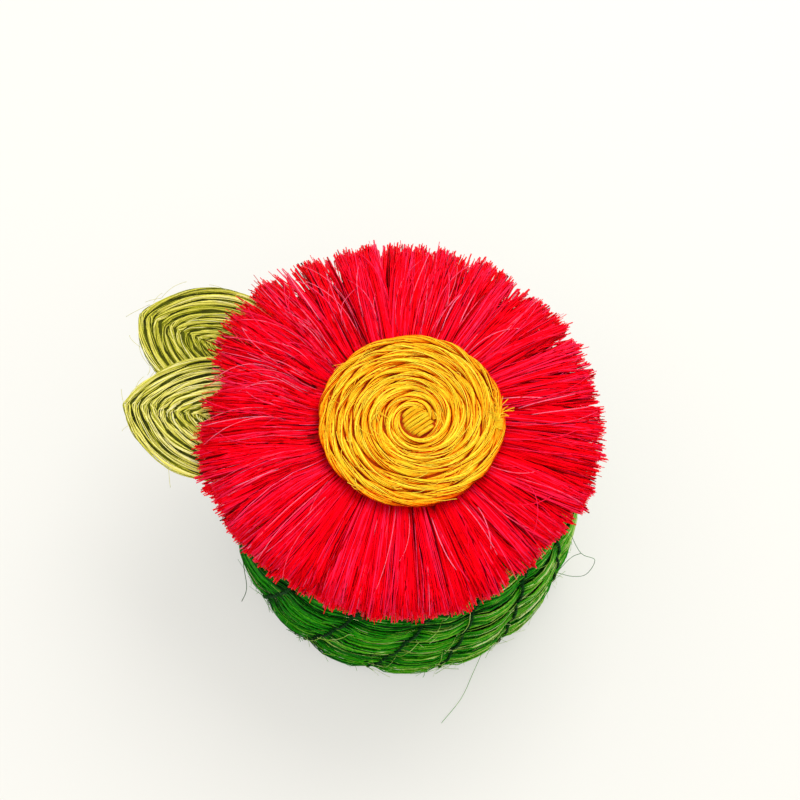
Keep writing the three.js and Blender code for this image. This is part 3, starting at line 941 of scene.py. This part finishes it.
def fringe_layer(clumps, per_clump, points, low, high, mess, dark, parts, seed):
    """One layer of the fringe between two heights at the root: fibres that leave the bound
    middle side by side and are drawn together into clumps at their cut ends."""
    width = 360 / clumps
    clump = np.repeat(np.arange(clumps), per_clump)
    random, even, bell, share = start_fibres(len(clump), points, seed)

    def for_clumps(values):
        return values[clump][:, None]

    middle = for_clumps(width * (np.arange(clumps) + random.uniform(-0.5, 0.5, clumps)))
    ragged = np.exp(-(turn_from(RAGGED_MIDDLE, middle) / RAGGED_HALF) ** 2)
    lean = for_clumps(random.normal(0, 1.3 + 2.6 * mess, clumps)) * (1 + 0.7 * ragged)
    level = for_clumps(random.uniform(0, 1, clumps)) * 0.7 + even(0, 0.3)
    trim = for_clumps(random.normal(0, 0.5 * MM, clumps)) * (1 + 1.6 * ragged)
    at_back = 1 - np.cos(np.radians(middle))
    trim = np.minimum(trim, 1.2 * MM) + bell(0, 0.5 * MM) * (1 + 1.4 * ragged)
    trim = trim + bell(-0.1, 0.35) * MM * at_back
    short = (even(0, 1) < 0.12 + 0.32 * ragged) * even(1, 7 + 2 * ragged) * MM
    fan = even(-1.0, 1.0)
    bow = bell(0, 0.5 + 0.9 * mess)
    tuft = np.minimum(np.floor((fan + 1) * TUFTS / 2), TUFTS - 1).astype(int)
    fan = fan + TUFT_PULL * share**2 * ((2 * tuft + 1) / TUFTS - 1 - fan)
    tuft = clump[:, None] * TUFTS + tuft
    trim = trim + random.normal(0, 0.55 * MM, clumps * TUFTS)[tuft]
    gather = 1 - (for_clumps(random.uniform(0.25, 0.65, clumps)) + 0.25 * ragged) * share
    bearing = middle + fan * width * gather + lean * share + bow * np.sin(np.pi * share)
    bearing = bearing + random.normal(0, 0.35, clumps * TUFTS)[tuft] * share
    bearing = bearing + bell(0, 0.3 + 1.1 * mess) * share**2
    bearing, near = parted(bearing, share * parts)
    tip = fringe_reach(middle + lean) + trim - short
    radius = FRINGE_ROOT + (tip - FRINGE_ROOT) * share
    root_height = low + (high - low) * level
    tip_height = 0.4 * root_height + 0.6 * FLOWER_BOTTOM + (0.7 * level + 0.7) * MM
    bulge = (0.2 + 0.4 * level) * MM * np.sin(np.pi * share)
    lift = np.maximum(bell(0, 0.08 + 0.28 * mess), -0.3) * MM * share
    height = root_height + (tip_height - root_height) * share + bulge + lift
    height = height + fringe_rise(bearing, radius)
    lines = around(bearing, radius, height) + FLOWER_CENTRE
    size = 0.1 * MM + 0.19 * MM * even(0, 1) ** 1.7
    size = size * (1 - 0.1 * share**3)
    # Painted light and shade in the tone: tips a little lighter, upper fibres lighter and lower
    # fibres and layers darker, and fibres darker in the partings and over the leaves
    tone = bell(0.42, 0.22) + for_clumps(random.normal(0, 0.05, clumps))
    tone = tone + random.normal(0, 0.08, clumps * TUFTS)[tuft] + 0.1 * share**3
    tone = tone + 0.2 * (level - 0.5) - dark * (1 - 0.7 * share**3)
    tone = np.minimum(tone - 0.7 * near * (1 - level) * share * (1 - share**3), 0.76)
    tone = tone + 0.03 * at_back * share - 0.1 * ragged
    pale = even(0, 1) < 0.06 + 0.05 * ragged + 0.02 * at_back
    tone = np.where(pale, even(0.7, 0.92), tone)
    return lines, np.where(pale, 0.7 * size, size), tone


# Name, clumps, fibres in each, lowest and highest root, mess, darkness (painted shade of the lower
# layers), parting and seed
FRINGE_LAYERS = [
    ("petal_fringe_lower", 84, 46, 0.4 * MM, 1.7 * MM, 0.1, 0.32, 0.5, 41),
    ("petal_fringe_middle", 88, 46, 1.3 * MM, 2.6 * MM, 0.3, 0.16, 1, 42),
    ("petal_fringe_upper", 96, 46, 2.0 * MM, 3.6 * MM, 0.5, 0.0, 1, 43),
]
for name, clumps, per_clump, low, high, mess, dark, parts, seed in FRINGE_LAYERS:
    low, high = FLOWER_BOTTOM + low, FLOWER_BOTTOM + high
    lines, size, tone = fringe_layer(clumps, per_clump, 6, low, high, mess, dark, parts, seed)
    lay_fibres(name, red, lines, size, tone, flat=0.75)


def fringe_strays(count, points, seed):
    """Pale hairs that lie loosely on top of the fringe, most of them above the leaves
    and at the back, where it was least combed."""
    random, even, bell, share = start_fibres(count, points, seed)
    combed = even(0, 1) < 0.6
    bearing = np.where(combed, even(0, 360), bell(215, 38))
    drift = bell(0, 3) * share + bell(0, 4) * share**2.5
    start = even(22, 34) * MM
    reach = np.minimum(start + even(9, 26) * MM, 49.5 * MM)
    radius = start + (reach - start) * share
    path = bearing + drift
    height = FLOWER_BOTTOM + 3.9 * MM - 1.2 * MM * share
    height = height + even(0.2, 1.6) * MM * np.sin(np.pi * share**0.8)
    height = height + fringe_rise(path, radius)
    lines = around(path, radius, height) + FLOWER_CENTRE
    return lines, even(0.06, 0.15) * MM, random.uniform(0.66, 0.95, count)


lay_fibres("petal_fringe_stray_hairs", red, *fringe_strays(count=160, points=9, seed=44))

# Flower centre: one loosely twisted strand of yellow fibre wound flat from the middle outwards,
# turn against turn, and sewn down. Slits open where its two plies cross, painted dark as the shade
# in them.
COIL_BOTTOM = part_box("flower_centre_coil")[0].z
COIL_CENTRE = np.array([1.7, -0.6, 0]) * MM
COIL_RADIUS = 23.2 * MM
COIL_DOME = 1.0 * MM
COIL_THICKNESS = 3.6 * MM
EYE_OFFSET = np.array([1.7, -0.9, 0]) * MM
EYE_RADIUS = 4.2 * MM
COIL_TURNS = 10
COIL_PITCH = (COIL_RADIUS - 1.0 * MM - EYE_RADIUS) / (COIL_TURNS - 1)
COIL_END_BEARING = 92
PLIES = 2
PLY_FIBRES = 18
PLY_CORE_RADIUS = 0.5 * MM
PLY_OFFSET = (0.42 * MM, 0.4 * MM)
PLY_SIZE = (0.66 * MM, 0.72 * MM)
PLY_LAY = 20 * MM
FIBRE_LAY = 34 * MM

# Fibre dyed a warm gold yellow, painted orange brown deep in the slits as shade, with its packed
# coil painted darker still as shade
yellow_packed = packed_fibre("packed_yellow_fibre_painted_shade", "yellow_fibre", "#841C00", "#C44C00")
yellow = dyed_fibre(
    "yellow_dyed_fibre",
    "yellow_fibre",
    [
        (0.0, "#8E1000"), (0.13, "#E03C00"), (0.3, "#FF8000"),
        (0.46, "#FFB61A"), (0.7, "#FFD62C"), (1.0, "#FFF250")
    ],
    "#FFC040",
    streak=0.26,
)


def coil_height(radius):
    """The height of the strand's middle, which rises a little towards the eye."""
    return COIL_BOTTOM + COIL_THICKNESS / 2 + COIL_DOME * (1 - (radius / COIL_RADIUS) ** 2)


def coil_radius(turns):
    """A true spiral by the eye, then rings that each step out to the next near the end knot."""
    whole = np.floor(turns)
    stepped = whole + ease(turns - whole, 0.7, 1.0)
    ringed = ease(turns, 1.5, 5)
    reach = turns * (1 - ringed) + stepped * ringed
    return EYE_RADIUS + COIL_PITCH * np.minimum(reach, COIL_TURNS - 1)


def coil_route():
    """The strand from the eye out to the knot, with points closer together on tight turns."""
    turns = [0.0]
    while turns[-1] < COIL_TURNS:
        radius = float(coil_radius(np.array(turns[-1])))
        turns.append(turns[-1] + (0.9 * MM + 0.045 * radius) / (2 * np.pi * radius))
    turns = np.array(turns) * COIL_TURNS / turns[-1]
    radius = coil_radius(turns)
    bearing = COIL_END_BEARING + 360 * (turns - COIL_TURNS)
    centre = COIL_CENTRE + EYE_OFFSET * (1 - radius[:, None] / COIL_RADIUS)
    wander = 0.16 * np.sin(bearing * radius / 170 + 3 * turns) * ease(turns, 0.3, 1.5) * MM
    radius = radius + wander - 0.1 * MM
    return around(bearing, radius, coil_height(radius) + 0.2 * MM) + centre


def twisted_strand(route, random):
    """A strand of plies that turn round each other, each a bundle of fibres round a packed
    middle. Offsets are (sideways, upright). Fibres low in a ply are painted darker and more orange
    as shade, and a ply lighter where it turns up. Returns the fibres, the plies' middles and the
    fibres' tones."""
    across, up, along = route_axes(route, (0, 0, 1))
    middles, lines, tones = [], [], []
    for ply in range(PLIES):
        angle = 2 * np.pi * (along / PLY_LAY + ply / PLIES)
        angle = angle + 0.9 * np.sin(along / (8.3 * MM)) + 0.5 * np.sin(along / (21 * MM) + ply)
        middle = route + PLY_OFFSET[0] * np.cos(angle)[:, None] * across
        middle = middle + PLY_OFFSET[1] * np.sin(angle)[:, None] * up
        middles.append(middle)
        for fibre in range(PLY_FIBRES):
            place = 2 * np.pi * (fibre + random.uniform(-0.35, 0.35)) / PLY_FIBRES
            place = place + 2 * np.pi * along / FIBRE_LAY + 0.3 * np.sin(along / (5 * MM) + fibre)
            reach = random.uniform(0.85, 1.1)
            line = middle + reach * PLY_SIZE[0] * np.cos(place)[:, None] * across
            line = line + reach * PLY_SIZE[1] * np.sin(place)[:, None] * up
            lines.append(line)
            # Painted shade and light: lower fibres darker and more orange, and a ply lighter where
            # it lies high
            sunk = 1 - np.maximum(np.sin(place), 0)
            tones.append(random.normal(0.66, 0.13) - 0.5 * sunk**1.5 + 0.06 * np.sin(angle))
    return np.array(lines), np.array(middles), np.array(tones)


random = np.random.default_rng(51)
coil_rings = [
    (6 * MM, COIL_BOTTOM + 0.1 * MM),
    (COIL_RADIUS - 1.4 * MM, COIL_BOTTOM + 0.1 * MM),
    (COIL_RADIUS - 1.2 * MM, COIL_BOTTOM + 0.9 * MM),
    (COIL_RADIUS - 1.7 * MM, COIL_BOTTOM + 1.9 * MM),
    (6 * MM, COIL_BOTTOM + 2.9 * MM),
]
coil_core = turn_core("centre_packed_coil", coil_rings)
for vertex in coil_core.data.vertices:
    vertex.co.x += COIL_CENTRE[0]
    vertex.co.y += COIL_CENTRE[1]
finish_piece(coil_core, yellow_packed, "flower_centre_coil")

route = coil_route()
lines, middles, tone = twisted_strand(route, random)
outward = lines - np.repeat(middles, PLY_FIBRES, axis=0)
size = random.uniform(0.12, 0.25, (len(lines), 1)) * MM
# Painted shade: the outermost turn, whose side faces down away from the light, takes a darker
# orange tone
from_middle = np.linalg.norm(lines[..., :2] - COIL_CENTRE[:2], axis=-1)
tone = tone - 0.26 * ease(from_middle, 20.5 * MM, 23.4 * MM)
lay_fibres("centre_coil_strand", yellow, lines, size, tone, outward, flat=0.55)
# The ply cores take the darkest tone, painted shade that shows in the slits between the plies
tone = np.array([0.0, 0.04])
lay_fibres("centre_coil_ply_cores", yellow, middles, PLY_CORE_RADIUS, tone, flat=1.5, sides=6)


# Where a fibre has come loose, as bearing and distance from the middle in millimetres
COIL_TUFTS = [(260, 8), (255, 20), (292, 16.5), (230, 22.5), (325, 22), (180, 12)]


def coil_frays(count, points, seed):
    """Broken fibre ends that slant over the coil, and a few small tufts that stick up."""
    random, even, bell, share = start_fibres(count, points, seed)
    bearing = even(0, 360)
    radius = (COIL_RADIUS - 0.6 * MM) * np.sqrt(even(0.06, 1))
    tufted = even(0, 1) < 0.35
    place = random.integers(0, len(COIL_TUFTS), (count, 1))
    tufts = np.array(COIL_TUFTS)[place]
    bearing = np.where(tufted, tufts[..., 0] + bell(0, 1), bearing)
    radius = np.where(tufted, tufts[..., 1] * MM + bell(0, 0.4) * MM, radius)
    length = even(1.5, 6) * np.where(tufted, 0.5, 1.0) * MM
    drift = bell(0, 0.25) * (1 + 1.6 * tufted) * length
    turned = random.choice([-1, 1], (count, 1)) * np.degrees(length / radius)
    lift = even(0, 0.5) * (1 + 1.5 * tufted) * MM
    path = radius + drift * share + 0.3 * MM * np.sin(share * even(1, 5))
    height = coil_height(path) + 1.05 * MM + lift * np.sin(0.5 * np.pi * share)
    lines = around(bearing + turned * share, path, height) + COIL_CENTRE
    return lines, even(0.05, 0.12) * MM, random.uniform(0.5, 1, count)


lay_fibres("centre_coil_frays", yellow, *coil_frays(count=150, points=6, seed=52))


def eye_lines():
    """The strand's beginning: short slanting lengths side by side, which fill the coil's eye."""
    share = np.linspace(-1, 1, 11)
    slant = math.radians(36)
    lines = []
    for row in range(-3, 4):
        offset = row * 1.1 * MM + 0.25 * MM * share**2 * np.sign(-row)
        half = math.sqrt(1 - (row / 3.9) ** 2) * 3.9 * MM
        for fibre in range(11):
            angle = 2 * np.pi * fibre / 11 + 0.7 * share + row
            sideways = offset + 0.38 * MM * np.cos(angle)
            hump = (1 - share**4) * 1.3 * MM + 0.5 * MM * np.sin(angle)
            x = half * share * math.cos(slant) - sideways * math.sin(slant)
            y = half * share * math.sin(slant) + sideways * math.cos(slant)
            z = coil_height(0) - 0.5 * MM + hump
            lines.append(np.stack([x, y, z], axis=-1) + COIL_CENTRE + EYE_OFFSET)
    return np.array(lines)


lines = eye_lines()
size = random.uniform(0.1, 0.18, (len(lines), 1)) * MM
lay_fibres("centre_coil_eye", yellow, lines, size, random.normal(0.62, 0.1, len(lines)))

# End knot: the strand's end is whipped to the coil's edge with a few fibres of its own,
# and is cut just beyond, so that its ends fray out in a small brush.
random = np.random.default_rng(61)
WHIPPED_FROM, WHIPPED_TO = 82, 90
WHIPPING_RADIUS = 1.15 * MM
WHIPPING_PITCH = 1.3 * MM
WHIPPING_FIBRE_RADIUS = 0.2 * MM

whipped = np.linspace(WHIPPED_FROM, WHIPPED_TO, 60)
whipped_radius = coil_radius(np.array(float(COIL_TURNS))) - 0.6 * MM
whipped = around(whipped, whipped_radius, coil_height(whipped_radius) + 0.3 * MM) + COIL_CENTRE
upright = np.broadcast_to((0.0, 0.0, 1.0), whipped.shape)
whipping = wind_round(whipped, upright, WHIPPING_RADIUS, WHIPPING_PITCH, [0, 1.6, 3.1, 4.7])
outward = unit(whipping - whipped)
tone = random.uniform(0.5, 0.8, len(whipping))
lay_fibres("end_knot_whipping", yellow, whipping, WHIPPING_FIBRE_RADIUS, tone, outward)

KNOT_LOW, KNOT_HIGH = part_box("coil_end_knot")
knot_middle = np.array((KNOT_LOW + KNOT_HIGH) / 2)
brush_root = whipped[-15] + np.array([-0.5, 0.2, 1.2]) * MM
brush_tip = knot_middle + np.array([-3.6, -1.3, 1.6]) * MM


def brush_lines(count, random):
    """The cut end: fibres side by side out of the whipping, which spread as they run."""
    share = np.linspace(0, 1, 7)[None, :, None]
    along = (brush_tip - brush_root)[None, None, :]
    place = random.uniform(-1, 1, (count, 1, 3)) * np.array([0.7, 0.6, 0.35]) * MM
    length = random.uniform(0.6, 1.3, (count, 1, 1))
    splay = random.normal(0, 1, (count, 1, 3)) * np.array([1.2, 1.0, 0.5]) * MM
    return brush_root + place + along * share * length + splay * (share * length) ** 2.2


lines = brush_lines(60, random)
size = random.uniform(0.07, 0.14, (len(lines), 1)) * MM
tone = random.normal(0.6, 0.16, len(lines))
lay_fibres("end_knot_brush", yellow, lines, size, tone, nodes=["coil_end_knot"])
